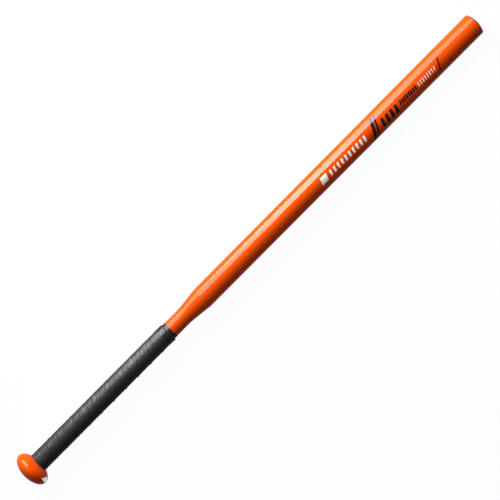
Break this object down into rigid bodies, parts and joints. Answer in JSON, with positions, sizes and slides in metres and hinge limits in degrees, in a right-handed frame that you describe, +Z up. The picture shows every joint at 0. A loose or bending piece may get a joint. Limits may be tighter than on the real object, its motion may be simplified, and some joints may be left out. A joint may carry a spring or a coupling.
{
  "type": "contact training bat",
  "caption": "Thin-barrel baseball and softball training bat with an elliptical knob, a spiral-wrapped grip, a short cone and a long slim domed barrel.",
  "frame": {"origin": "centre of the knob's flat bottom face, on the bat's axis", "axes": "+X along the bat from the knob to the tip, +Z up as the bat lies on a table"},
  "size_m": [0.8382, 0.05, 0.05],
  "materials": {
    "orange_enamel": "gloss",
    "weld_metal": "satin",
    "underlay_tape": "matte",
    "grip_strip": "matte",
    "finish_tape": "gloss"
  },
  "bodies": {
    "root": {"barrel_shell": "orange_enamel", "end_cap": "orange_enamel", "end_cap_weld": "orange_enamel", "knob": "orange_enamel", "knob_weld": "weld_metal", "grip_underlay": "underlay_tape", "grip_wrap": "grip_strip", "grip_finish_tape": "finish_tape"}
  },
  "joints": []
}
